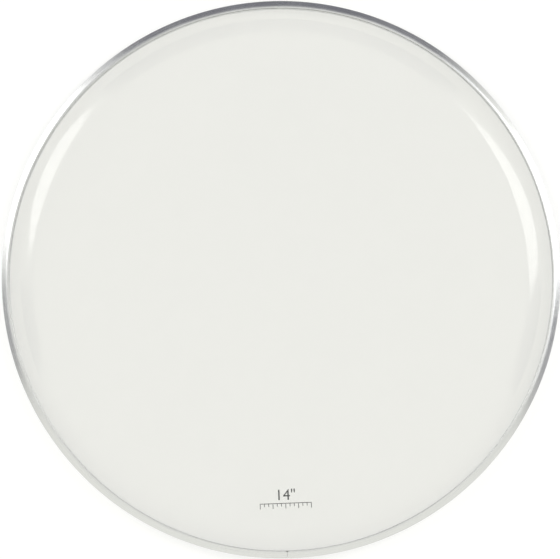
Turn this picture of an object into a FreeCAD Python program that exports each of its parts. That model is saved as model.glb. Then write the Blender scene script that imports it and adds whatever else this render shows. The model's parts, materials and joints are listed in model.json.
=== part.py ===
"""Drum head: a clear plastic film with a formed collar, cast into an aluminium channel hoop.

Millimetres. +Z is up, towards the playing side. The origin is the centre of the hoop's underside.
"""
import FreeCAD, Part
import math
import os

# Drum shell that the head drops over
shell_diameter = 355.6
shell_clearance = 1.1

# Hoop: an extruded channel rolled into a ring, closed above by a lip that turns inwards
inner_wall = 0.6
channel_width = 3.3
outer_wall = 1.2
floor_wall = 1.2
hoop_height = 9.0
lip_thickness = 1.2
mouth_height = 1.8
lip_gap = 0.15
lip_overhang = 0.4
bottom_round = 1.0
lip_edge_round = 0.15
wall_edge_round = 0.2
channel_corner_round = 0.5
roof_round = 2.4

# Crown: the top's narrow seat for the rim, and the slope that falls from it to the outer wall
seat_width = 0.65
crown_angle = 25.0
crown_round = 4.2
crown_edge_round = 0.5

# Butt seam where the two ends of the channel meet, with the lip's corners cut back
seam_angle = -88.7
seam_gap = 0.3
notch_depth = 1.0
notch_width = 1.2

# Film: flat playing surface, rounded shoulder, sloping collar and a skirt inside the channel
film_thickness = 0.25
film_rise = 9.0
film_wall_gap = 0.1
collar_angle = 40.0
shoulder_bend = 16.0
root_bend = 3.0

# Skirt: the film's edge, flared so that it cannot pull out, and punched to let the resin through
skirt_gap = 0.4
skirt_floor_gap = 0.8
flare_share = 0.65
flare_bend = 0.8
hole_count = 72
hole_diameter = 1.8

# Resin poured into the channel, and how much of the flare has resin on its inner side
resin_freeboard = 0.3
backed_flare_share = 0.75

# Splice: a steel strip in the channel that carries the seam
splice_length = 24.0
splice_thickness = 0.8
splice_height = 3.4
splice_floor_gap = 0.6

# Radii and heights that follow from the sizes above
hoop_inner_radius = shell_diameter / 2 + shell_clearance
channel_inner_radius = hoop_inner_radius + inner_wall
channel_outer_radius = channel_inner_radius + channel_width
hoop_outer_radius = channel_outer_radius + outer_wall
lip_underside = hoop_height - lip_thickness
inner_wall_top = lip_underside - mouth_height
resin_level = inner_wall_top - resin_freeboard
film_top = hoop_height + film_rise
film_root_radius = channel_inner_radius + film_wall_gap + film_thickness
skirt_end_radius = channel_outer_radius - splice_thickness - skirt_gap
skirt_end_height = floor_wall + skirt_floor_gap
flare_height = skirt_end_height + flare_share * (inner_wall_top - skirt_end_height)

AXIS_POINT = FreeCAD.Vector(0, 0, 0)
UP = FreeCAD.Vector(0, 0, 1)
FULL_TURN = 360.0
OVERCUT = 1.0


def section_point(radius, height):
    """A point of a half section, on the side of +X."""
    return FreeCAD.Vector(radius, 0, height)


def rounded_face(corners):
    """A flat face through corners (radius, height, round), each round drawn as a tangent arc."""
    points = [section_point(radius, height) for radius, height, _ in corners]
    rounds = [size for _, _, size in corners]
    edges = []
    ends = []
    for index, corner in enumerate(points):
        to_last = (points[index - 1] - corner).normalize()
        to_next = (points[(index + 1) % len(points)] - corner).normalize()
        if rounds[index] <= 0:
            ends.append((corner, corner))
            continue
        half_angle = to_last.getAngle(to_next) / 2
        setback = rounds[index] / math.tan(half_angle)
        bisector = (to_last + to_next).normalize()
        middle = corner + bisector * (rounds[index] / math.sin(half_angle) - rounds[index])
        start = corner + to_last * setback
        end = corner + to_next * setback
        edges.append(Part.Arc(start, middle, end).toShape())
        ends.append((start, end))
    for index, (start, _) in enumerate(ends):
        edges.append(Part.LineSegment(ends[index - 1][1], start).toShape())
    return Part.Face(Part.Wire(Part.__sortEdges__(edges)))


def ring(corners):
    """A ring turned about the head's axis from a half section."""
    return rounded_face(corners).revolve(AXIS_POINT, UP, FULL_TURN)


def parallel_path(path, distance):
    """The points of a path moved to its right by a distance, each corner on both moved lines."""
    directions = []
    for (r_from, z_from), (r_to, z_to) in zip(path, path[1:]):
        length = math.hypot(r_to - r_from, z_to - z_from)
        directions.append(((r_to - r_from) / length, (z_to - z_from) / length))
    moved = []
    for index, (radius, height) in enumerate(path):
        before = directions[max(index - 1, 0)]
        after = directions[min(index, len(directions) - 1)]
        reach = distance / (1 + before[0] * after[0] + before[1] * after[1])
        moved.append((radius + reach * (before[1] + after[1]), height - reach * (before[0] + after[0])))
    return moved


def film_path():
    """The film's outer surface from the axis to the skirt's end, as the corners before rounding."""
    slope = math.radians(collar_angle)
    root_corner = inner_wall_top + root_bend * math.tan((math.pi / 2 - slope) / 2)
    shoulder_corner = film_root_radius - (film_top - root_corner) / math.tan(slope)
    return [
        (0, film_top),
        (shoulder_corner, film_top),
        (film_root_radius, root_corner),
        (film_root_radius, flare_height),
        (skirt_end_radius, skirt_end_height),
    ]


def film_outside_at(height):
    """The radius of the film's outer surface at a height in the mouth, on the root bend or the slope."""
    slope = math.radians(collar_angle)
    bend_centre = film_root_radius - root_bend
    bend_top = inner_wall_top + root_bend * math.cos(slope)
    if height < bend_top:
        return bend_centre + math.sqrt(root_bend**2 - (height - inner_wall_top) ** 2)
    return bend_centre + root_bend * math.sin(slope) - (height - bend_top) / math.tan(slope)


# The lip's lower edge ends just clear of the film that passes it, and its upper edge overhangs that
lip_edge = film_outside_at(lip_underside) + lip_gap
lip_tip = lip_edge - lip_overhang

# Half-way into the hoop's walls, where fillings that the channel then trims may end
inside_inner_wall = channel_inner_radius - inner_wall / 2
inside_outer_wall = channel_outer_radius + outer_wall / 2
inside_floor = floor_wall / 2


def seam_frame(shape):
    """Turn a shape that was made on +X to the place of the seam."""
    shape.rotate(AXIS_POINT, UP, seam_angle)
    return shape


def make_film():
    """The film in one piece: playing surface, collar and perforated skirt."""
    outside = film_path()
    inside = parallel_path(outside, film_thickness)
    outside_rounds = [0, shoulder_bend, root_bend, flare_bend, 0]
    inside_rounds = [
        0,
        shoulder_bend - film_thickness,
        root_bend - film_thickness,
        flare_bend + film_thickness,
        0,
    ]
    corners = [(*point, size) for point, size in zip(outside, outside_rounds)]
    corners += reversed([(*point, size) for point, size in zip(inside, inside_rounds)])
    film = ring(corners)
    return film.cut(Part.Compound(skirt_holes()))


def skirt_holes():
    """Pins for the holes punched square through the middle of the flare."""
    start, end = film_path()[-2:]
    middle = section_point((start[0] + end[0]) / 2, (start[1] + end[1]) / 2)
    along = section_point(end[0] - start[0], end[1] - start[1])
    square = FreeCAD.Vector(along.z, 0, -along.x).normalize()
    reach = film_thickness + 2 * OVERCUT
    pin = Part.makeCylinder(hole_diameter / 2, reach, middle - square * OVERCUT, square)
    pins = []
    for index in range(hole_count):
        copy = pin.copy()
        copy.rotate(AXIS_POINT, UP, index * FULL_TURN / hole_count)
        pins.append(copy)
    return pins


def channel_ring():
    """The channel as a whole ring, before it is parted at the seam."""
    edge_round = min(lip_edge_round, 0.45 * lip_thickness)
    fall = math.radians(crown_angle)
    crown_corner = lip_tip + edge_round + seat_width + crown_round * math.tan(fall / 2)
    crown_edge_height = hoop_height - (hoop_outer_radius - crown_corner) * math.tan(fall)
    return ring(
        [
            (hoop_inner_radius, 0, wall_edge_round),
            (hoop_outer_radius, 0, bottom_round),
            (hoop_outer_radius, crown_edge_height, crown_edge_round),
            (crown_corner, hoop_height, crown_round),
            (lip_tip, hoop_height, edge_round),
            (lip_edge, lip_underside, edge_round),
            (channel_outer_radius, lip_underside, roof_round),
            (channel_outer_radius, floor_wall, channel_corner_round),
            (channel_inner_radius, floor_wall, channel_corner_round),
            (channel_inner_radius, inner_wall_top, wall_edge_round),
            (hoop_inner_radius, inner_wall_top, wall_edge_round),
        ]
    )


def make_hoop(channel):
    """The channel parted at the seam, with a notch where the lip's two corners meet."""
    slit_start = FreeCAD.Vector(hoop_inner_radius - OVERCUT, -seam_gap / 2, -OVERCUT)
    slit_depth = hoop_outer_radius - hoop_inner_radius + 2 * OVERCUT
    slit = Part.makeBox(slit_depth, seam_gap, hoop_height + 2 * OVERCUT, slit_start)
    low = lip_underside - OVERCUT
    inner_edge = lip_tip - OVERCUT
    widening = notch_width / 2 * (1 + OVERCUT / notch_depth)
    notch_plan = Part.makePolygon(
        [
            FreeCAD.Vector(inner_edge, -widening, low),
            FreeCAD.Vector(lip_tip + notch_depth, 0, low),
            FreeCAD.Vector(inner_edge, widening, low),
            FreeCAD.Vector(inner_edge, -widening, low),
        ]
    )
    notch = Part.Face(notch_plan).extrude(UP * (lip_thickness + 2 * OVERCUT))
    return channel.cut([seam_frame(slit), seam_frame(notch)])


def make_splice(channel):
    """The strip that lies against the outer wall and bridges the seam."""
    inner_radius = channel_outer_radius - splice_thickness
    base = floor_wall + splice_floor_gap
    section = rounded_face(
        [
            (inner_radius, base, 0),
            (inside_outer_wall, base, 0),
            (inside_outer_wall, base + splice_height, 0),
            (inner_radius, base + splice_height, 0),
        ]
    )
    turn = math.degrees(splice_length / channel_outer_radius)
    strip = section.revolve(AXIS_POINT, UP, turn)
    strip.rotate(AXIS_POINT, UP, -turn / 2)
    return seam_frame(strip).cut(channel)


def make_resin(channel, film, splice):
    """The cast ring that fills the channel around the skirt and through its holes."""
    _, _, root, bend, end = parallel_path(film_path(), film_thickness / 2)
    reach = 1 - backed_flare_share
    backed = (bend[0] + reach * (end[0] - bend[0]), bend[1] + reach * (end[1] - bend[1]))
    fill = ring(
        [
            (inside_inner_wall, inside_floor, 0),
            (inside_outer_wall, inside_floor, 0),
            (inside_outer_wall, resin_level, 0),
            (root[0], resin_level, 0),
            (*bend, 0),
            (*backed, 0),
            (inside_inner_wall, backed[1], 0),
        ]
    )
    return fill.cut([channel, film, splice])


def main():
    """Build each piece and write it as one STEP file."""
    film = make_film()
    channel = channel_ring()
    splice = make_splice(channel)
    pieces = {
        "film": film,
        "hoop_channel": make_hoop(channel),
        "locking_resin": make_resin(channel, film, splice),
        "seam_splice": splice,
    }
    os.makedirs("parts", exist_ok=True)
    for name, shape in pieces.items():
        solids = shape.Solids
        if len(solids) != 1 or not solids[0].isValid():
            raise ValueError(f"{name} is {len(solids)} solids, or is not sound")
        solids[0].exportStep(f"parts/{name}.step")
        print(name, f"{solids[0].Volume:.1f} mm3", f"{len(solids[0].Faces)} faces")


main()
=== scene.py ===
"""Looks of a clear drum head: formed film, drawn aluminium hoop, cast resin, steel splice and a size mark.

Metres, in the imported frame. The origin is the centre of the hoop's underside, and +Z is the playing side.
"""
import json
import math
from functools import partial

import bpy
from bpy.props import FloatProperty, FloatVectorProperty, IntProperty, PointerProperty, StringProperty
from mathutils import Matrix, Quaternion, Vector


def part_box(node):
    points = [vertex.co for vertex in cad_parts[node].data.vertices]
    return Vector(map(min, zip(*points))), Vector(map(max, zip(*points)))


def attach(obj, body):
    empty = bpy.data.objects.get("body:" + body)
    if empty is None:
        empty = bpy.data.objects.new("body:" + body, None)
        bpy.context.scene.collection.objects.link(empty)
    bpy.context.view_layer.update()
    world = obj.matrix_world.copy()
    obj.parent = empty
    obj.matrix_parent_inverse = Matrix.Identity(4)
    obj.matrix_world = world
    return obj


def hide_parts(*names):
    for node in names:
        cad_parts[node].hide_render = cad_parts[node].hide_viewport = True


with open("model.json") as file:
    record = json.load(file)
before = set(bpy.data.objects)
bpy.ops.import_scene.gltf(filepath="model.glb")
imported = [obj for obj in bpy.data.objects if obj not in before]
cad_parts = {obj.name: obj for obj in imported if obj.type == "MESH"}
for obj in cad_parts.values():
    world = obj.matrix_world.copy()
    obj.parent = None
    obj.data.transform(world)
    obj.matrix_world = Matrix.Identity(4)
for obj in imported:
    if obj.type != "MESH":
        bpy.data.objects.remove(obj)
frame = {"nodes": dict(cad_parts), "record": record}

bl_info = {
    "name": "Clear Drum Head",
    "version": (1, 0, 0),
    "blender": (4, 5, 0),
    "location": "View3D > Sidebar > Drum Head",
    "description": "Builds the finished looks of a clear drum head around its packed solids",
    "category": "Object",
}

MM = 0.001
FULL_TURN = 2 * math.pi
BODY = "root"

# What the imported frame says
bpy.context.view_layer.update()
MOUNTS = {mount["name"]: mount for mount in frame["record"]["mounts"]}
BORE_RADIUS = MOUNTS["shell_bore"]["dims"]["r_mm"] * MM
OUTER_RADIUS = MOUNTS["hoop_outside"]["dims"]["r_mm"] * MM
HOOP_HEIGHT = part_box("hoop_channel")[1].z
FILM_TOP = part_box("film")[1].z

# Steps round the ring, fine enough that what it mirrors stays smooth
HOOP_STEPS = 720
FILM_STEPS = 480

# Edges that turn more than this stay crisp under smooth shading
CRISP_ANGLE = math.radians(35)

# Where most of a noise's values lie, for the nodes that spread them over a range
NOISE_SPREAD = {"From Min": 0.3, "From Max": 0.7}

# How a pin is taken out of a piece
CUT = {"operation": "DIFFERENCE", "solver": "EXACT"}

# The photograph's frame in pixels, where the hoop's middle falls in it, and the disc's radius
IMAGE_WIDTH = 560
IMAGE_HEIGHT = 559
DISC_CENTRE = (281.0, 278.6)
DISC_RADIUS = 279.4

# The line of sight leans from straight down towards -Y, and the lights stand round its mirror image
VIEW_LEAN = math.radians(3.5)
SIGHT_TURN = Quaternion((1, 0, 0), VIEW_LEAN)
LIGHT_TURN = Quaternion((1, 0, 0), -VIEW_LEAN)

# Soft panels, in degrees: azimuth from +X, elevation, half width and half height as the head sees them,
# and how far the top leans towards a larger azimuth
SOFTBOXES = (
    ("left_softbox", 153.5, 36.5, 12.5, 28.5, 9),
    ("right_softbox", 17, 47, 12.2, 29.3, 4),
)

# The kind of tree input that takes each kind of value
SOCKET_KINDS = {
    int: "NodeSocketInt",
    float: "NodeSocketFloat",
    Vector: "NodeSocketVector",
    bpy.types.Object: "NodeSocketObject",
    bpy.types.Material: "NodeSocketMaterial",
}


def linear(hex_colour):
    """An sRGB hex colour as linear red, green and blue."""
    channels = [int(hex_colour[place : place + 2], 16) / 255 for place in (1, 3, 5)]
    return tuple(c / 12.92 if c <= 0.04045 else ((c + 0.055) / 1.055) ** 2.4 for c in channels)


def add_node(tree, kind, inputs=None, **settings):
    """Add a node with its settings. Each input takes a value, a socket, or a node's first output."""
    made = tree.nodes.new(kind)
    for name, value in settings.items():
        setattr(made, name, value)
    for socket, value in (inputs or {}).items():
        if isinstance(value, bpy.types.Node):
            value = value.outputs[0]
        if isinstance(value, bpy.types.NodeSocket):
            tree.links.new(value, made.inputs[socket])
        else:
            made.inputs[socket].default_value = value
    return made


def length_property(name, description, default):
    """A size in metres that a user may change."""
    return FloatProperty(
        name=name, description=description, default=default, min=0, unit="LENGTH", precision=5
    )


def angle_property(name, description, degrees):
    """An angle that a user may change."""
    return FloatProperty(name=name, description=description, default=math.radians(degrees), subtype="ANGLE")


def colour_property(name, description, hex_colour):
    """A colour that a user may change."""
    return FloatVectorProperty(
        name=name,
        description=description,
        default=linear(hex_colour),
        size=3,
        min=0,
        max=1,
        subtype="COLOR",
    )


class HoopSettings(bpy.types.PropertyGroup):
    """Sizes and colour of the aluminium channel."""

    inner_radius: length_property("Inner radius", "Bore that drops over the shell", BORE_RADIUS)
    outer_radius: length_property("Outer radius", "Outside of the hoop", OUTER_RADIUS)
    height: length_property("Height", "Underside to top", HOOP_HEIGHT)
    lip_tip: length_property("Lip tip radius", "Where the lip that turns inwards ends", 179.0 * MM)
    lip_overhang: length_property("Lip overhang", "How far the lip's top overhangs its underside", 0.4 * MM)
    lip_thickness: length_property("Lip thickness", "Thickness of the lip", 1.2 * MM)
    inner_wall: length_property("Inner wall", "Thickness of the wall beside the shell", 0.6 * MM)
    outer_wall: length_property("Outer wall", "Thickness of the outer wall", 1.2 * MM)
    floor_wall: length_property("Floor", "Thickness of the channel's floor", 1.2 * MM)
    mouth_height: length_property("Mouth height", "Gap between the inner wall and the lip", 1.8 * MM)
    seat_width: length_property("Seat width", "Level top that the rim presses on", 0.65 * MM)
    crown_angle: angle_property("Crown angle", "Slope from the seat to the outer wall", 25)
    crown_round: length_property("Crown round", "Round from the seat to the slope", 4.2 * MM)
    crown_edge_round: length_property("Crown edge round", "Round from slope to outer wall", 0.5 * MM)
    roof_round: length_property("Roof round", "Round under the lip, inside the channel", 2.4 * MM)
    bottom_round: length_property("Bottom round", "Round of the outer bottom edge", 1.0 * MM)
    lip_round: length_property("Lip edge round", "Round of the lip's two edges", 0.15 * MM)
    wall_round: length_property("Wall edge round", "Round of the inner wall's edges", 0.2 * MM)
    seam_angle: angle_property("Seam angle", "Where the two ends meet", -88.7)
    seam_gap: length_property("Seam gap", "Gap between the two ends", 0.16 * MM)
    notch_depth: length_property("Notch depth", "How far the lip's corners are cut back", 1.0 * MM)
    notch_width: length_property("Notch width", "Width of the notch at the lip's edge", 2.6 * MM)
    colour: colour_property("Aluminium", "Colour of the clean metal", "#E7E8E9")
    dull_colour: colour_property("Dull aluminium", "Colour along the drawn lines", "#D8D9DB")


class FilmSettings(bpy.types.PropertyGroup):
    """Sizes and colour of the clear film."""

    top: length_property("Playing surface height", "Height of the flat top", FILM_TOP)
    thickness: length_property("Thickness", "Thickness of the film", 0.25 * MM)
    wall_gap: length_property("Wall gap", "Gap between the film and the hoop's inner wall", 0.1 * MM)
    collar_angle: angle_property("Collar angle", "Slope of the collar", 40)
    shoulder_bend: length_property("Shoulder bend", "Round from the flat top to the collar", 16 * MM)
    root_bend: length_property("Root bend", "Round from the collar to the skirt", 3 * MM)
    flare_bend: length_property("Flare bend", "Round from the skirt to its flare", 0.8 * MM)
    flare_height: length_property("Flare height", "Where the skirt starts to flare", 4.6 * MM)
    skirt_radius: length_property("Skirt end radius", "Radius of the skirt's edge", 181.6 * MM)
    skirt_height: length_property("Skirt end height", "Height of the skirt's edge", 2.0 * MM)
    hole_count: IntProperty(
        name="Skirt holes", description="Holes that the resin runs through", default=72, min=1
    )
    hole_diameter: length_property("Hole diameter", "Diameter of a skirt hole", 1.8 * MM)
    ripple_height: length_property("Ripple height", "Unevenness left by forming the shoulder", 0.12 * MM)
    ripple_length: length_property("Ripple length", "Distance from wave to wave", 38 * MM)
    tint: colour_property("Tint", "Colour that one face of the film lets through", "#F8F8F7")
    haze_colour: colour_property("Haze", "Colour of the light that the film scatters", "#F3F5EF")


class ResinSettings(bpy.types.PropertyGroup):
    """Colour of the resin that fills the channel."""

    colour: colour_property("Resin", "Colour of the cured resin", "#C9C7BE")
    deep_colour: colour_property("Deep resin", "Colour where it is thicker", "#A3A096")


class SpliceSettings(bpy.types.PropertyGroup):
    """Colour of the strip behind the seam."""

    colour: colour_property("Steel", "Colour of the rolled strip", "#C3C3C4")
    dull_colour: colour_property("Dull steel", "Colour along the rolled lines", "#A6A6A8")


class MarkSettings(bpy.types.PropertyGroup):
    """The printed size mark: plain numerals over a short scale."""

    numerals: StringProperty(name="Numerals", description="Nominal diameter in inches", default='14"')
    place: FloatVectorProperty(
        name="Place",
        description="Centre of the scale's rule",
        default=(3.1 * MM, -147.9 * MM),
        size=2,
        unit="LENGTH",
    )
    turn: angle_property("Turn", "Turn of the print", 2.2)
    numeral_size: length_property("Numeral size", "Type size of the numerals", 10 * MM)
    numeral_lift: length_property("Numeral lift", "Height of the numerals over the rule", 2.2 * MM)
    rule_length: length_property("Rule length", "Length of the scale's rule", 34 * MM)
    line_width: length_property("Line width", "Width of the rule and its divisions", 0.45 * MM)
    division_count: IntProperty(name="Divisions", description="Lines on the scale", default=13, min=2)
    division_length: length_property("Division length", "Length of a short division", 1.8 * MM)
    ink_thickness: length_property("Ink thickness", "Thickness of the dry ink", 0.02 * MM)
    ink_lift: length_property("Ink lift", "Gap that keeps the ink clear of the film", 0.005 * MM)
    colour: colour_property("Ink", "Colour of the dry ink", "#4C4D4D")
    thin_colour: colour_property("Thin ink", "Colour where the ink lies thin", "#6C6D6C")


class StageSettings(bpy.types.PropertyGroup):
    """Floor and camera."""

    floor_colour: colour_property("Floor", "Colour of the plain floor", "#B8B8B7")
    floor_size: length_property("Floor size", "Width of the floor", 12.0)
    camera_height: length_property("Camera height", "Height of the camera over the hoop's underside", 3.0)


def crown_corners(hoop):
    """The radius of the crown's upper corner and the height of its outer one, before rounding."""
    seat_end = hoop.lip_tip + hoop.lip_round + hoop.seat_width
    upper_radius = seat_end + hoop.crown_round * math.tan(hoop.crown_angle / 2)
    return upper_radius, hoop.height - (hoop.outer_radius - upper_radius) * math.tan(hoop.crown_angle)


def with_supports(corners):
    """The corners with a plain point just past both ends of each bend, to keep shading off the flats."""
    gap = 0.05 * MM
    supported = []
    for index, (radius, height, bend, steps) in enumerate(corners):
        corner = Vector((radius, height))
        to_last = (Vector(corners[index - 1][:2]) - corner).normalized()
        to_next = (Vector(corners[(index + 1) % len(corners)][:2]) - corner).normalized()
        if bend > 0:
            setback = bend / math.tan(to_last.angle(to_next) / 2) + gap
            supported.append((*(corner + to_last * setback), 0, 1))
        supported.append((radius, height, bend, steps))
        if bend > 0:
            supported.append((*(corner + to_next * setback), 0, 1))
    return supported


def section_object(name, sharp_corners, path_radius):
    """A closed outline of corners (radius, height, bend, arc steps), ready to be swept round a circle.

    The sweep lays the outline's X along the radius and its Y downwards.
    """
    corners = with_supports(sharp_corners)
    mesh = bpy.data.meshes.new(name)
    points = [(radius - path_radius, -height, 0) for radius, height, _, _ in corners]
    edges = [(index, (index + 1) % len(points)) for index in range(len(points))]
    mesh.from_pydata(points, edges, [])
    bends = mesh.attributes.new("bend", "FLOAT", "POINT")
    bends.data.foreach_set("value", [bend for _, _, bend, _ in corners])
    steps = mesh.attributes.new("arc_steps", "INT", "POINT")
    steps.data.foreach_set("value", [count for _, _, _, count in corners])
    return bpy.data.objects.new(name, mesh)


def new_tree(name, values):
    """An empty Geometry Nodes tree with a named input for each value, and a function that adds nodes."""
    tree = bpy.data.node_groups.new(name, "GeometryNodeTree")
    tree.interface.new_socket("Geometry", in_out="OUTPUT", socket_type="NodeSocketGeometry")
    for label, value in values.items():
        tree.interface.new_socket(label, in_out="INPUT", socket_type=SOCKET_KINDS[type(value)])
    add = partial(add_node, tree)
    return tree, add, add("NodeGroupInput").outputs


def swept_section(add, section, path, caps):
    """Nodes that round a section's corners and sweep it along a path.

    The distance along the section and the distance along the path are kept as attributes.
    """
    outline = add("GeometryNodeObjectInfo", {"Object": section}).outputs["Geometry"]
    curve = add("GeometryNodeMeshToCurve", {"Mesh": outline})
    bend = add("GeometryNodeInputNamedAttribute", {"Name": "bend"}, data_type="FLOAT")
    steps = add("GeometryNodeInputNamedAttribute", {"Name": "arc_steps"}, data_type="INT")
    rounded = add("GeometryNodeFilletCurve", {"Curve": curve, "Radius": bend, "Count": steps}, mode="POLY")
    upright = add("GeometryNodeSetCurveNormal", {"Curve": path}, mode="Z_UP")
    measured = []
    for source, name in ((rounded, "across"), (upright, "along")):
        distance = add("GeometryNodeSplineParameter").outputs["Length"]
        stored = {"Geometry": source, "Name": name, "Value": distance}
        measured.append(add("GeometryNodeStoreNamedAttribute", stored, data_type="FLOAT", domain="POINT"))
    profile, rail = measured
    return add("GeometryNodeCurveToMesh", {"Profile Curve": profile, "Curve": rail, "Fill Caps": caps})


def finish_tree(add, geometry, material):
    """End a tree with plain smooth faces that carry one material."""
    real = add("GeometryNodeRealizeInstances", {"Geometry": geometry})
    smooth = add("GeometryNodeSetShadeSmooth", {"Geometry": real, "Shade Smooth": True})
    painted = add("GeometryNodeSetMaterial", {"Geometry": smooth, "Material": material})
    add("NodeGroupOutput", {0: painted})


def mesh_from_tree(name, tree, values):
    """Run a tree with its named inputs on a new object, and keep the result as a plain mesh."""
    piece = bpy.data.objects.new(name, bpy.data.meshes.new(name))
    bpy.context.scene.collection.objects.link(piece)
    modifier = piece.modifiers.new("Shape", "NODES")
    modifier.node_group = tree
    for item in tree.interface.items_tree:
        if item.in_out == "INPUT":
            modifier[item.identifier] = values[item.name]
    graph = bpy.context.evaluated_depsgraph_get()
    mesh = bpy.data.meshes.new_from_object(piece.evaluated_get(graph))
    piece.modifiers.remove(modifier)
    piece.data = mesh
    mesh.name = name
    if not mesh.polygons:
        raise RuntimeError(f"{name} came out empty")
    mesh.set_sharp_from_angle(angle=CRISP_ANGLE)
    return piece


def drop_object(scratch):
    """Delete an object that only fed a tree, with its mesh."""
    mesh = scratch.data
    bpy.data.objects.remove(scratch)
    bpy.data.meshes.remove(mesh)


def new_material(name):
    """An empty material, and the function that adds its nodes."""
    material = bpy.data.materials.new(name)
    material.use_nodes = True
    material.node_tree.nodes.clear()
    return material, partial(add_node, material.node_tree)


def dress_cad_node(name, material):
    """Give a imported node's slots a finished material."""
    node = frame["nodes"][name]
    if not node.material_slots:
        node.data.materials.append(material)
    for slot in node.material_slots:
        slot.material = material


def drawn_aluminium(settings):
    """Extruded aluminium, drawn bright and rolled into a ring.

    Fine lines run round the ring and soften what it mirrors, and handling leaves duller patches.
    """
    line_length = 45 * MM
    # A real drawn line is some 0.02 mm wide; it is drawn this wide so that it still shows from a step away
    line_width = 0.22 * MM
    line_depth = 0.004 * MM
    patch_size = 22 * MM
    material, add = new_material("drawn_bright_aluminium")
    strip = add("ShaderNodeUVMap", uv_map="UVMap")
    stretched = add("ShaderNodeMapping", {"Vector": strip, "Scale": (1 / line_length, 1 / line_width, 1)})
    lines = add("ShaderNodeTexNoise", {"Vector": stretched, "Scale": 1, "Detail": 3, "Roughness": 0.6})
    place = add("ShaderNodeTexCoord").outputs["Object"]
    patches = add("ShaderNodeTexNoise", {"Vector": place, "Scale": 1 / patch_size, "Detail": 4})
    dulling = add("ShaderNodeMapRange", {"Value": lines, "From Min": 0.3, "From Max": 0.75})
    shades = {6: (*settings.colour, 1), 7: (*settings.dull_colour, 1)}
    colour = add("ShaderNodeMix", {0: dulling, **shades}, data_type="RGBA").outputs[2]
    line_roughness = add(
        "ShaderNodeMapRange", {**NOISE_SPREAD, "Value": lines, "To Min": 0.2, "To Max": 0.28}
    )
    patch_roughness = add(
        "ShaderNodeMapRange", {"Value": patches, "From Min": 0.35, "From Max": 0.7, "To Max": 0.06}
    )
    roughness = add("ShaderNodeMath", {0: line_roughness, 1: patch_roughness}, operation="ADD")
    relief = add("ShaderNodeBump", {"Height": lines, "Distance": line_depth, "Strength": 1})
    grain = add("ShaderNodeTangent", direction_type="UV_MAP", uv_map="UVMap")
    metal = add(
        "ShaderNodeBsdfPrincipled",
        {
            "Base Color": colour,
            "Metallic": 1,
            "Roughness": roughness,
            "Anisotropic": 0.15,
            "Tangent": grain,
            "Normal": relief,
        },
    )
    add("ShaderNodeOutputMaterial", {"Surface": metal})
    return material


def formed_polyester_film(settings):
    """Clear polyester film, heat-formed.

    It passes nearly all light with a faint tint, scatters a little as a thin haze that varies slowly with
    the draw, and mirrors lights with soft edges, more so at a slant.
    """
    refraction_index = 1.5
    head_on_mirror = ((refraction_index - 1) / (refraction_index + 1)) ** 2
    schlick_power = 5
    cloud_size = 70 * MM
    # The film is drawn in one direction, so its slight unevenness is long along X and short along Y
    streak_length = 40 * MM
    streak_width = 4 * MM
    material, add = new_material("formed_clear_polyester_film")
    place = add("ShaderNodeTexCoord").outputs["Object"]
    clouds = add("ShaderNodeTexNoise", {"Vector": place, "Scale": 1 / cloud_size, "Detail": 3})
    haze = add("ShaderNodeMapRange", {**NOISE_SPREAD, "Value": clouds, "To Min": 0.026, "To Max": 0.034})
    streak_scale = (1 / streak_length, 1 / streak_width, 1 / streak_width)
    drawn = add("ShaderNodeMapping", {"Vector": place, "Scale": streak_scale})
    streaks = add("ShaderNodeTexNoise", {"Vector": drawn, "Scale": 1, "Detail": 2})
    roughness = add("ShaderNodeMapRange", {**NOISE_SPREAD, "Value": streaks, "To Min": 0.1, "To Max": 0.16})
    facing = add("ShaderNodeLayerWeight", {"Blend": 0.5}).outputs["Facing"]
    slant = add("ShaderNodeMath", {0: facing, 1: schlick_power}, operation="POWER")
    mirror = add(
        "ShaderNodeMath", {0: slant, 1: 1 - head_on_mirror, 2: head_on_mirror}, operation="MULTIPLY_ADD"
    )
    clear = add("ShaderNodeBsdfTransparent", {"Color": (*settings.tint, 1)})
    gloss = add("ShaderNodeBsdfGlossy", {"Color": (1, 1, 1, 1), "Roughness": roughness})
    scatter = add("ShaderNodeBsdfDiffuse", {"Color": (*settings.haze_colour, 1)})
    face = add("ShaderNodeMixShader", {0: mirror, 1: clear, 2: gloss})
    film = add("ShaderNodeMixShader", {0: haze, 1: face, 2: scatter})
    add("ShaderNodeOutputMaterial", {"Surface": film})
    return material


def cast_resin(settings):
    """Poured and cured epoxy: milky grey, glossy, slightly see-through, with small trapped bubbles."""
    bubble_spacing = 1.6 * MM
    bubble_height = 0.05 * MM
    cloud_size = 9 * MM
    material, add = new_material("cast_milky_epoxy")
    place = add("ShaderNodeTexCoord").outputs["Object"]
    clouds = add("ShaderNodeTexNoise", {"Vector": place, "Scale": 1 / cloud_size, "Detail": 3})
    shades = {6: (*settings.colour, 1), 7: (*settings.deep_colour, 1)}
    colour = add("ShaderNodeMix", {0: clouds, **shades}, data_type="RGBA").outputs[2]
    bubbles = add("ShaderNodeTexVoronoi", {"Vector": place, "Scale": 1 / bubble_spacing})
    domes = add(
        "ShaderNodeMapRange", {"Value": bubbles, "From Min": 0.1, "From Max": 0.3, "To Min": 1, "To Max": 0}
    )
    relief = add("ShaderNodeBump", {"Height": domes, "Distance": bubble_height, "Strength": 1})
    roughness = add("ShaderNodeMapRange", {**NOISE_SPREAD, "Value": clouds, "To Min": 0.18, "To Max": 0.34})
    resin = add(
        "ShaderNodeBsdfPrincipled",
        {
            "Base Color": colour,
            "Roughness": roughness,
            "IOR": 1.55,
            "Subsurface Weight": 0.3,
            "Subsurface Radius": (1, 0.8, 0.4),
            "Subsurface Scale": 1 * MM,
            "Normal": relief,
        },
    )
    add("ShaderNodeOutputMaterial", {"Surface": resin})
    return material


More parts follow.
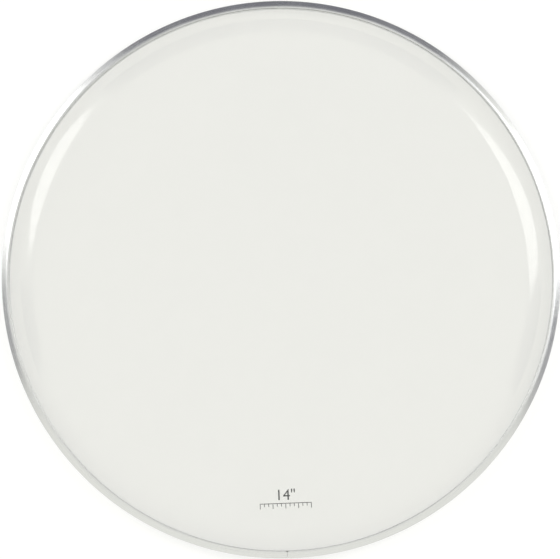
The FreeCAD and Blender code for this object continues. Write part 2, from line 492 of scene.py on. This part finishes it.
def cold_rolled_steel(settings):
    """Cold-rolled steel strip: a grey satin sheen with fine lines along the rolling."""
    line_length = 12 * MM
    line_width = 0.25 * MM
    line_scale = (1 / line_length, 1 / line_width, 1 / line_width)
    material, add = new_material("cold_rolled_steel_strip")
    place = add("ShaderNodeTexCoord").outputs["Object"]
    along = add("ShaderNodeMapping", {"Vector": place, "Scale": line_scale})
    lines = add("ShaderNodeTexNoise", {"Vector": along, "Scale": 1, "Detail": 3})
    shades = {6: (*settings.colour, 1), 7: (*settings.dull_colour, 1)}
    colour = add("ShaderNodeMix", {0: lines, **shades}, data_type="RGBA").outputs[2]
    roughness = add("ShaderNodeMapRange", {**NOISE_SPREAD, "Value": lines, "To Min": 0.26, "To Max": 0.42})
    steel = add("ShaderNodeBsdfPrincipled", {"Base Color": colour, "Metallic": 1, "Roughness": roughness})
    add("ShaderNodeOutputMaterial", {"Surface": steel})
    return material


def screen_printed_ink(settings):
    """Screen-printed ink, dry: matt dark grey, thinner in specks where the screen left its mesh."""
    speck_size = 0.7 * MM
    mesh_relief = 0.004 * MM
    material, add = new_material("screen_printed_grey_ink")
    place = add("ShaderNodeTexCoord").outputs["Object"]
    specks = add("ShaderNodeTexNoise", {"Vector": place, "Scale": 1 / speck_size, "Detail": 3})
    thin = add("ShaderNodeMapRange", {"Value": specks, "From Min": 0.45, "From Max": 0.75})
    shades = {6: (*settings.colour, 1), 7: (*settings.thin_colour, 1)}
    colour = add("ShaderNodeMix", {0: thin, **shades}, data_type="RGBA").outputs[2]
    roughness = add("ShaderNodeMapRange", {**NOISE_SPREAD, "Value": specks, "To Min": 0.45, "To Max": 0.65})
    relief = add("ShaderNodeBump", {"Height": specks, "Distance": mesh_relief, "Strength": 1})
    ink = add("ShaderNodeBsdfPrincipled", {"Base Color": colour, "Roughness": roughness, "Normal": relief})
    add("ShaderNodeOutputMaterial", {"Surface": ink})
    return material


def plain_studio_floor(settings):
    """Matt pale board: it takes the object's soft shadow, and shows white to the eye and in gloss."""
    glow = 0.583
    material, add = new_material("plain_studio_floor")
    board = add("ShaderNodeBsdfDiffuse", {"Color": (*settings.floor_colour, 1)})
    ray = add("ShaderNodeLightPath").outputs
    seen = add("ShaderNodeMath", {0: ray["Is Camera Ray"], 1: ray["Is Glossy Ray"]}, operation="MAXIMUM")
    seen = add("ShaderNodeMath", {0: seen, 1: ray["Is Transmission Ray"]}, operation="MAXIMUM")
    strength = add("ShaderNodeMath", {0: seen, 1: glow}, operation="MULTIPLY")
    light = add("ShaderNodeEmission", {"Color": (1, 1, 1, 1), "Strength": strength})
    floor = add("ShaderNodeAddShader", {0: board, 1: light})
    add("ShaderNodeOutputMaterial", {"Surface": floor})
    return material


class DRUMHEAD_OT_hoop(bpy.types.Operator):
    """Sweep the channel's section round the ring, leave the seam open and notch the lip there"""

    bl_idname = "drumhead.hoop"
    bl_label = "Hoop"

    def execute(self, context):
        settings = context.scene.drumhead_hoop
        path_radius = (settings.inner_radius + settings.outer_radius) / 2
        section = section_object("hoop_section", self.corners(settings), path_radius)
        gap_angle = settings.seam_gap / path_radius
        # The pin is a diamond with twice the notch's reach, so that at the lip it has half its full width
        values = {
            "Section": section,
            "Path Radius": path_radius,
            "Path Steps": HOOP_STEPS,
            "Start Angle": settings.seam_angle + gap_angle / 2,
            "Sweep Angle": FULL_TURN - gap_angle,
            "Seam Angle": settings.seam_angle,
            "Notch Radius": settings.lip_tip + settings.notch_depth,
            "Pin Reach": 2 * settings.notch_depth,
            "Pin Half Width": settings.notch_width,
            "Pin Height": 2 * settings.lip_thickness,
            "Lip Middle": settings.height - settings.lip_thickness / 2,
            "Material": drawn_aluminium(settings),
        }
        hoop = mesh_from_tree("aluminium_hoop", self.tree(values), values)
        drop_object(section)
        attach(hoop, BODY)
        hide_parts("hoop_channel")
        return {"FINISHED"}

    def corners(self, settings):
        """The channel's section, clockwise from a hidden corner of its floor."""
        channel_inner = settings.inner_radius + settings.inner_wall
        channel_outer = settings.outer_radius - settings.outer_wall
        lip_underside = settings.height - settings.lip_thickness
        wall_top = lip_underside - settings.mouth_height
        crown_corner, crown_edge = crown_corners(settings)
        channel_round = 0.5 * MM
        return [
            (channel_inner, settings.floor_wall, channel_round, 4),
            (channel_outer, settings.floor_wall, channel_round, 4),
            (channel_outer, lip_underside, settings.roof_round, 8),
            (settings.lip_tip + settings.lip_overhang, lip_underside, settings.lip_round, 6),
            (settings.lip_tip, settings.height, settings.lip_round, 6),
            (crown_corner, settings.height, settings.crown_round, 12),
            (settings.outer_radius, crown_edge, settings.crown_edge_round, 6),
            (settings.outer_radius, 0, settings.bottom_round, 8),
            (settings.inner_radius, 0, settings.wall_round, 4),
            (settings.inner_radius, wall_top, settings.wall_round, 4),
            (channel_inner, wall_top, settings.wall_round, 4),
        ]

    def tree(self, values):
        """Section along an open arc, with a four-sided pin cut out of the lip at the seam."""
        tree, add, size = new_tree("Hoop Channel", values)
        circle = {"Resolution": size["Path Steps"], "Radius": size["Path Radius"]}
        angles = {end: size[end] for end in ("Start Angle", "Sweep Angle")}
        path = add("GeometryNodeCurveArc", {**circle, **angles}, mode="RADIUS")
        ring = swept_section(add, size["Section"], path, True)
        along = add("GeometryNodeInputNamedAttribute", {"Name": "along"}, data_type="FLOAT")
        across = add("GeometryNodeInputNamedAttribute", {"Name": "across"}, data_type="FLOAT")
        strip = add("ShaderNodeCombineXYZ", {"X": along, "Y": across})
        mapped = add(
            "GeometryNodeStoreNamedAttribute",
            {"Geometry": ring, "Name": "UVMap", "Value": strip},
            data_type="FLOAT2",
            domain="CORNER",
        )
        pin = add("GeometryNodeMeshCylinder", {"Vertices": 4, "Radius": 1, "Depth": 1})
        pin_size = add(
            "ShaderNodeCombineXYZ",
            {"X": size["Pin Reach"], "Y": size["Pin Half Width"], "Z": size["Pin Height"]},
        )
        pin_middle = add(
            "ShaderNodeMath", {0: size["Notch Radius"], 1: size["Pin Reach"]}, operation="SUBTRACT"
        )
        pin_place = add("ShaderNodeCombineXYZ", {"X": pin_middle, "Z": size["Lip Middle"]})
        sized = add("GeometryNodeTransform", {"Geometry": pin, "Translation": pin_place, "Scale": pin_size})
        turn = add("ShaderNodeCombineXYZ", {"Z": size["Seam Angle"]})
        turned = add("GeometryNodeTransform", {"Geometry": sized, "Rotation": turn})
        notched = add("GeometryNodeMeshBoolean", {"Mesh 1": mapped, "Mesh 2": turned}, **CUT)
        finish_tree(add, notched, size["Material"])
        return tree


class DRUMHEAD_OT_film(bpy.types.Operator):
    """Sweep the film's section round the axis, ripple its shoulder and punch its skirt"""

    bl_idname = "drumhead.film"
    bl_label = "Film"

    def execute(self, context):
        settings = context.scene.drumhead_film
        hoop = context.scene.drumhead_hoop
        ripple_lead = 0.6 * settings.shoulder_bend
        pin_depth = 8 * settings.thickness
        pole_merge = 0.002 * MM
        outside = self.outside_path(settings, hoop)
        inside = self.parallel_path(outside, settings.thickness)
        path_radius = settings.skirt_radius
        section = section_object("film_section", self.corners(settings, outside, inside), path_radius)
        shoulder_radius = outside[1][0]
        root_radius = outside[2][0]
        flare_start, flare_end = outside[-2:]
        flare_drop = flare_start[1] - flare_end[1]
        flare_run = flare_end[0] - flare_start[0]
        values = {
            "Section": section,
            "Path Radius": path_radius,
            "Path Steps": FILM_STEPS,
            "Pole Merge": pole_merge,
            "Ripple Height": settings.ripple_height,
            "Ripple Length": settings.ripple_length,
            "Ripple Start": shoulder_radius - ripple_lead,
            "Ripple Crest": shoulder_radius,
            "Ripple End": root_radius - settings.root_bend,
            "Hole Count": settings.hole_count,
            "Hole Radius": settings.hole_diameter / 2,
            "Hole Depth": pin_depth,
            "Hole Middle": Vector(
                ((flare_start[0] + flare_end[0]) / 2, 0, (flare_start[1] + flare_end[1]) / 2)
            ),
            "Hole Tilt": math.atan2(flare_drop, flare_run),
            "Material": formed_polyester_film(settings),
        }
        film = mesh_from_tree("clear_film", self.tree(values), values)
        drop_object(section)
        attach(film, BODY)
        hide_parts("film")
        return {"FINISHED"}

    def outside_path(self, settings, hoop):
        """The outer surface from axis to skirt's edge, as (radius, height) corners before rounding."""
        wall_top = hoop.height - hoop.lip_thickness - hoop.mouth_height
        root_radius = hoop.inner_radius + hoop.inner_wall + settings.wall_gap + settings.thickness
        root_height = wall_top + settings.root_bend * math.tan((math.pi / 2 - settings.collar_angle) / 2)
        shoulder_radius = root_radius - (settings.top - root_height) / math.tan(settings.collar_angle)
        return [
            (0, settings.top),
            (shoulder_radius, settings.top),
            (root_radius, root_height),
            (root_radius, settings.flare_height),
            (settings.skirt_radius, settings.skirt_height),
        ]

    def parallel_path(self, path, distance):
        """The corners of a path moved to its right by a distance, each on both moved lines."""
        directions = []
        for (radius_from, height_from), (radius_to, height_to) in zip(path, path[1:]):
            length = math.hypot(radius_to - radius_from, height_to - height_from)
            directions.append(((radius_to - radius_from) / length, (height_to - height_from) / length))
        moved = []
        for index, (radius, height) in enumerate(path):
            before = directions[max(index - 1, 0)]
            after = directions[min(index, len(directions) - 1)]
            reach = distance / (1 + before[0] * after[0] + before[1] * after[1])
            moved.append((radius + reach * (before[1] + after[1]), height - reach * (before[0] + after[0])))
        return moved

    def corners(self, settings, outside, inside):
        """The film's closed section, clockwise: outer surface from the axis out, inner surface back."""
        steps = [1, 28, 10, 6, 1]
        outside_bends = [0, settings.shoulder_bend, settings.root_bend, settings.flare_bend, 0]
        inside_bends = [
            0,
            settings.shoulder_bend - settings.thickness,
            settings.root_bend - settings.thickness,
            settings.flare_bend + settings.thickness,
            0,
        ]
        outer = [(*point, bend, count) for point, bend, count in zip(outside, outside_bends, steps)]
        inner = [(*point, bend, count) for point, bend, count in zip(inside, inside_bends, steps)]
        return outer + inner[::-1]

    def tree(self, values):
        """Section round a circle, lifted by a slow noise on the shoulder, with a ring of pins cut out."""
        hole_sides = 24
        tree, add, size = new_tree("Formed Film", values)
        circle = {"Resolution": size["Path Steps"], "Radius": size["Path Radius"]}
        path = add("GeometryNodeCurvePrimitiveCircle", circle, mode="RADIUS")
        sheet = swept_section(add, size["Section"], path, False)
        closed = add("GeometryNodeMergeByDistance", {"Geometry": sheet, "Distance": size["Pole Merge"]})
        rippled = self.ripple(add, size, closed)
        pin = add(
            "GeometryNodeMeshCylinder",
            {"Vertices": hole_sides, "Radius": size["Hole Radius"], "Depth": size["Hole Depth"]},
        )
        tilt = add("ShaderNodeCombineXYZ", {"Y": size["Hole Tilt"]})
        placed = add(
            "GeometryNodeTransform",
            {"Geometry": pin, "Translation": size["Hole Middle"], "Rotation": tilt},
        )
        spots = add("GeometryNodePoints", {"Count": size["Hole Count"]})
        index = add("GeometryNodeInputIndex")
        share = add("ShaderNodeMath", {0: index, 1: size["Hole Count"]}, operation="DIVIDE")
        angle = add("ShaderNodeMath", {0: share, 1: FULL_TURN}, operation="MULTIPLY")
        turn = add("ShaderNodeCombineXYZ", {"Z": angle})
        rotation = add("FunctionNodeEulerToRotation", {"Euler": turn})
        pins = add(
            "GeometryNodeInstanceOnPoints", {"Points": spots, "Instance": placed, "Rotation": rotation}
        )
        real_pins = add("GeometryNodeRealizeInstances", {"Geometry": pins})
        punched = add("GeometryNodeMeshBoolean", {"Mesh 1": rippled, "Mesh 2": real_pins}, **CUT)
        finish_tree(add, punched, size["Material"])
        return tree

    def ripple(self, add, size, sheet):
        """Lift the shoulder by a slow noise that dies out on the flat top and at the collar's root."""
        place = add("GeometryNodeInputPosition")
        flat_place = add("ShaderNodeVectorMath", {0: place, 1: (1, 1, 0)}, operation="MULTIPLY")
        radius = add("ShaderNodeVectorMath", {0: flat_place}, operation="LENGTH").outputs["Value"]
        density = add("ShaderNodeMath", {0: 1, 1: size["Ripple Length"]}, operation="DIVIDE")
        waves = {"Vector": flat_place, "Scale": density, "Detail": 1}
        noise = add("ShaderNodeTexNoise", waves, normalize=False)
        rise, fall = [
            add(
                "ShaderNodeMapRange",
                {"Value": radius, "From Min": size[end], "From Max": size["Ripple Crest"]},
                interpolation_type="SMOOTHSTEP",
            )
            for end in ("Ripple Start", "Ripple End")
        ]
        window = add("ShaderNodeMath", {0: rise, 1: fall}, operation="MULTIPLY")
        height = add("ShaderNodeMath", {0: noise, 1: size["Ripple Height"]}, operation="MULTIPLY")
        lift = add("ShaderNodeMath", {0: height, 1: window}, operation="MULTIPLY")
        offset = add("ShaderNodeCombineXYZ", {"Z": lift})
        return add("GeometryNodeSetPosition", {"Geometry": sheet, "Offset": offset})


class DRUMHEAD_OT_resin(bpy.types.Operator):
    """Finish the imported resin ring, which the channel hides"""

    bl_idname = "drumhead.resin"
    bl_label = "Resin"

    def execute(self, context):
        dress_cad_node("locking_resin", cast_resin(context.scene.drumhead_resin))
        return {"FINISHED"}


class DRUMHEAD_OT_splice(bpy.types.Operator):
    """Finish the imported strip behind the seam"""

    bl_idname = "drumhead.splice"
    bl_label = "Splice"

    def execute(self, context):
        dress_cad_node("seam_splice", cold_rolled_steel(context.scene.drumhead_splice))
        return {"FINISHED"}


class DRUMHEAD_OT_size_mark(bpy.types.Operator):
    """Print plain numerals over a short scale on the playing surface"""

    bl_idname = "drumhead.size_mark"
    bl_label = "Size mark"

    def execute(self, context):
        settings = context.scene.drumhead_mark
        film = context.scene.drumhead_film
        numerals = self.numeral_object(settings)
        ink_middle = film.top + settings.ink_lift + settings.ink_thickness / 2
        values = {
            "Numerals": numerals,
            "Merge": 0.1 * settings.ink_thickness,
            "Numeral Lift": settings.numeral_lift,
            "Rule Length": settings.rule_length,
            "Line Width": settings.line_width,
            "Divisions": settings.division_count,
            "Division Length": settings.division_length,
            "Ink Thickness": settings.ink_thickness,
            "Place": Vector((*settings.place, ink_middle)),
            "Turn": settings.turn,
            "Material": screen_printed_ink(settings),
        }
        mark = mesh_from_tree("size_mark", self.tree(values), values)
        drop_object(numerals)
        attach(mark, BODY)
        return {"FINISHED"}

    def numeral_object(self, settings):
        """The numerals as one thin mesh, centred on the origin's X."""
        text = bpy.data.curves.new("numeral_text", "FONT")
        text.body = settings.numerals
        text.size = settings.numeral_size
        text.align_x = "CENTER"
        text.extrude = settings.ink_thickness / 2
        text.resolution_u = 8
        scratch = bpy.data.objects.new("numeral_text", text)
        bpy.context.scene.collection.objects.link(scratch)
        graph = bpy.context.evaluated_depsgraph_get()
        mesh = bpy.data.meshes.new_from_object(scratch.evaluated_get(graph))
        bpy.data.objects.remove(scratch)
        bpy.data.curves.remove(text)
        return bpy.data.objects.new("numerals", mesh)

    def tree(self, values):
        """A rule, a row of divisions that hang from it, each third one longer, and the numerals above."""
        long_every = 3
        long_share = 1.7
        tree, add, size = new_tree("Size Mark", values)
        rule_size = add(
            "ShaderNodeCombineXYZ",
            {"X": size["Rule Length"], "Y": size["Line Width"], "Z": size["Ink Thickness"]},
        )
        rule = add("GeometryNodeMeshCube", {"Size": rule_size})
        half_rule = add("ShaderNodeMath", {0: size["Rule Length"], 1: -0.5}, operation="MULTIPLY")
        row_start = add(
            "ShaderNodeMath", {0: size["Line Width"], 1: 0.5, 2: half_rule}, operation="MULTIPLY_ADD"
        )
        row_end = add("ShaderNodeMath", {0: row_start, 1: -1}, operation="MULTIPLY")
        row = add(
            "GeometryNodeMeshLine",
            {
                "Count": size["Divisions"],
                "Start Location": add("ShaderNodeCombineXYZ", {"X": row_start}),
                "Offset": add("ShaderNodeCombineXYZ", {"X": row_end}),
            },
            mode="END_POINTS",
        )
        division_size = add(
            "ShaderNodeCombineXYZ",
            {"X": size["Line Width"], "Y": size["Division Length"], "Z": size["Ink Thickness"]},
        )
        division = add("GeometryNodeMeshCube", {"Size": division_size})
        hang_half = add("ShaderNodeMath", {0: size["Division Length"], 1: -0.5}, operation="MULTIPLY")
        hang_by = add(
            "ShaderNodeMath", {0: size["Line Width"], 1: -0.5, 2: hang_half}, operation="MULTIPLY_ADD"
        )
        hang = add("ShaderNodeCombineXYZ", {"Y": hang_by})
        hung = add("GeometryNodeTransform", {"Geometry": division, "Translation": hang})
        index = add("GeometryNodeInputIndex")
        step = add("ShaderNodeMath", {0: index, 1: long_every}, operation="MODULO")
        stretch = add("ShaderNodeMapRange", {"Value": step, "To Min": long_share, "To Max": 1})
        scale = add("ShaderNodeCombineXYZ", {"X": 1, "Y": stretch, "Z": 1})
        divisions = add("GeometryNodeInstanceOnPoints", {"Points": row, "Instance": hung, "Scale": scale})
        numerals = add("GeometryNodeObjectInfo", {"Object": size["Numerals"]}).outputs["Geometry"]
        closed = add("GeometryNodeMergeByDistance", {"Geometry": numerals, "Distance": size["Merge"]})
        lift = add("ShaderNodeCombineXYZ", {"Y": size["Numeral Lift"]})
        lifted = add("GeometryNodeTransform", {"Geometry": closed, "Translation": lift})
        print_parts = add("GeometryNodeJoinGeometry")
        for part in (rule, divisions, lifted):
            tree.links.new(part.outputs[0], print_parts.inputs[0])
        real = add("GeometryNodeRealizeInstances", {"Geometry": print_parts})
        turn = add("ShaderNodeCombineXYZ", {"Z": size["Turn"]})
        placed = add(
            "GeometryNodeTransform", {"Geometry": real, "Translation": size["Place"], "Rotation": turn}
        )
        finish_tree(add, placed, size["Material"])
        return tree


class DRUMHEAD_OT_stage(bpy.types.Operator):
    """Add the floor, the soft studio light and the camera"""

    bl_idname = "drumhead.stage"
    bl_label = "Stage"

    def execute(self, context):
        settings = context.scene.drumhead_stage
        self.add_floor(context, settings)
        for softbox in SOFTBOXES:
            self.add_softbox(context, *softbox)
        self.add_tent(context)
        self.add_camera(context, settings, context.scene.drumhead_hoop)
        context.scene.view_settings.view_transform = "Standard"
        return {"FINISHED"}

    def add_floor(self, context, settings):
        """A plain board just under the hoop."""
        reach = settings.floor_size / 2
        level = -0.2 * MM
        mesh = bpy.data.meshes.new("studio_floor")
        corners = [(x * reach, y * reach, level) for x, y in ((-1, -1), (1, -1), (1, 1), (-1, 1))]
        mesh.from_pydata(corners, [], [(0, 1, 2, 3)])
        mesh.materials.append(plain_studio_floor(settings))
        floor = bpy.data.objects.new("studio_floor", mesh)
        context.scene.collection.objects.link(floor)

    def add_softbox(self, context, name, azimuth, elevation, half_width, half_height, lean):
        """An oval soft panel that faces the head."""
        distance = 1.3
        radiance = 2.1
        lamp = bpy.data.lights.new(name, "AREA")
        lamp.shape = "ELLIPSE"
        lamp.size = 2 * distance * math.tan(math.radians(half_width))
        lamp.size_y = 2 * distance * math.tan(math.radians(half_height))
        lamp.energy = radiance * math.pi * (math.pi / 4 * lamp.size * lamp.size_y)
        box = bpy.data.objects.new(name, lamp)
        box.visible_camera = False
        turn = math.radians(azimuth)
        rise = math.radians(elevation)
        towards = Vector((math.cos(rise) * math.cos(turn), math.cos(rise) * math.sin(turn), math.sin(rise)))
        facing = towards.to_track_quat("Z", "Y") @ Quaternion((0, 0, 1), -math.radians(lean))
        box.location = LIGHT_TURN @ towards * distance
        box.rotation_mode = "QUATERNION"
        box.rotation_quaternion = LIGHT_TURN @ facing
        context.scene.collection.objects.link(box)

    def add_tent(self, context):
        """A dim tent with pale panels in front and at both sides, closed by a pale cove all round.

        Each edge is a pair of values: a panel is dark at the first, fully lit at the second, soft between.
        """
        panel_colour = [0.98 * channel for channel in linear("#FFFFF7")]
        back_colour = [0.23 * channel for channel in linear("#F3F3FF")]
        front_skew = 0.123
        front_spread = 2.17
        front_edge = (0.2, 0.02)
        fade_start = -0.05
        fade_end = 0.95
        faded_share = 0.01
        side_spread = -0.9
        side_edge = (-0.07, 0.06)
        side_start = (-0.06, 0.09)
        cove_edge = (0.22, 0.12)
        world = bpy.data.worlds.new("studio_tent")
        world.use_nodes = True
        world.node_tree.nodes.clear()
        add = partial(add_node, world.node_tree)
        direction = add("ShaderNodeTexCoord").outputs["Generated"]
        level_direction = add(
            "ShaderNodeVectorRotate", {"Vector": direction, "Angle": VIEW_LEAN}, rotation_type="X_AXIS"
        )
        along = add("ShaderNodeSeparateXYZ", {0: level_direction}).outputs
        sideways = add("ShaderNodeMath", {0: along["X"]}, operation="ABSOLUTE")
        # The front panel is a wedge that narrows overhead and reaches further round on the left
        off_front = add(
            "ShaderNodeMath", {0: along["X"], 1: front_skew, 2: sideways}, operation="MULTIPLY_ADD"
        )
        forward = add("ShaderNodeMath", {0: along["Y"], 1: 0}, operation="MINIMUM")
        past_front = add(
            "ShaderNodeMath", {0: forward, 1: front_spread, 2: off_front}, operation="MULTIPLY_ADD"
        )
        past_back = add(
            "ShaderNodeMath", {0: along["Y"], 1: side_spread, 2: sideways}, operation="MULTIPLY_ADD"
        )
        # The cove stands behind the floor's edge, and low views see it as their background
        front_width, side_width, side_depth, cove = [
            add(
                "ShaderNodeMapRange",
                {"Value": value, "From Min": dark, "From Max": lit},
                interpolation_type="SMOOTHSTEP",
            )
            for value, (dark, lit) in (
                (past_front, front_edge),
                (past_back, side_edge),
                (along["Y"], side_start),
                (along["Z"], cove_edge),
            )
        ]
        # Past the point overhead the front panel fades towards the back
        past_top = add(
            "ShaderNodeMapRange", {"Value": along["Y"], "From Min": fade_start, "From Max": fade_end}
        )
        front_depth = add("ShaderNodeMath", {0: faded_share, 1: past_top}, operation="POWER")
        front = add("ShaderNodeMath", {0: front_width, 1: front_depth}, operation="MULTIPLY")
        side = add("ShaderNodeMath", {0: side_width, 1: side_depth}, operation="MULTIPLY")
        panels = add("ShaderNodeMath", {0: front, 1: side}, operation="MAXIMUM")
        share = add("ShaderNodeMath", {0: panels, 1: cove}, operation="MAXIMUM")
        shades = {6: (*back_colour, 1), 7: (*panel_colour, 1)}
        shade = add("ShaderNodeMix", {0: share, **shades}, data_type="RGBA").outputs[2]
        tent = add("ShaderNodeBackground", {"Color": shade, "Strength": 1})
        add("ShaderNodeOutputWorld", {"Surface": tent})
        context.scene.world = world

    def add_camera(self, context, settings, hoop):
        """A long lens nearly straight above, framed so that the disc falls where the photograph has it."""
        _, widest = crown_corners(hoop)
        pixel = hoop.outer_radius / DISC_RADIUS
        lens = bpy.data.cameras.new("overhead_camera")
        lens.sensor_width = 36
        lens.lens = lens.sensor_width / IMAGE_WIDTH * (settings.camera_height - widest) / pixel
        lens.clip_end = 100
        camera = bpy.data.objects.new("overhead_camera", lens)
        middle_x = (IMAGE_WIDTH / 2 - DISC_CENTRE[0]) * pixel
        middle_y = (DISC_CENTRE[1] - IMAGE_HEIGHT / 2) * pixel
        sight = SIGHT_TURN @ Vector((0, 0, settings.camera_height - widest))
        camera.location = Vector((middle_x, middle_y, widest)) + sight
        camera.rotation_mode = "QUATERNION"
        camera.rotation_quaternion = SIGHT_TURN
        context.scene.collection.objects.link(camera)
        context.scene.camera = camera


class DRUMHEAD_PT_panel(bpy.types.Panel):
    """Pieces of the drum head and the values that shape them"""

    bl_idname = "DRUMHEAD_PT_panel"
    bl_label = "Drum Head"
    bl_space_type = "VIEW_3D"
    bl_region_type = "UI"
    bl_category = "Drum Head"

    def draw(self, context):
        for name, group, operator in STEPS:
            box = self.layout.box()
            box.operator(operator.bl_idname)
            for value in group.__annotations__:
                box.prop(getattr(context.scene, name), value)


# Where each step's settings hang on the scene, the settings, and the operator that reads them
STEPS = (
    ("drumhead_hoop", HoopSettings, DRUMHEAD_OT_hoop),
    ("drumhead_film", FilmSettings, DRUMHEAD_OT_film),
    ("drumhead_resin", ResinSettings, DRUMHEAD_OT_resin),
    ("drumhead_splice", SpliceSettings, DRUMHEAD_OT_splice),
    ("drumhead_mark", MarkSettings, DRUMHEAD_OT_size_mark),
    ("drumhead_stage", StageSettings, DRUMHEAD_OT_stage),
)
GROUPS = {name: group for name, group, _ in STEPS}
CLASSES = (*GROUPS.values(), *(operator for _, _, operator in STEPS), DRUMHEAD_PT_panel)


def register():
    """Register the classes and hang the settings on the scene."""
    for made in CLASSES:
        bpy.utils.register_class(made)
    for name, group in GROUPS.items():
        setattr(bpy.types.Scene, name, PointerProperty(type=group))


def unregister():
    """Take the settings and the classes away again."""
    for name in GROUPS:
        delattr(bpy.types.Scene, name)
    for made in reversed(CLASSES):
        bpy.utils.unregister_class(made)


def main():
    """Build every piece and the stage."""
    register()
    bpy.ops.drumhead.hoop()
    bpy.ops.drumhead.film()
    bpy.ops.drumhead.resin()
    bpy.ops.drumhead.splice()
    bpy.ops.drumhead.size_mark()
    bpy.ops.drumhead.stage()


if __name__ == "__main__":
    main()
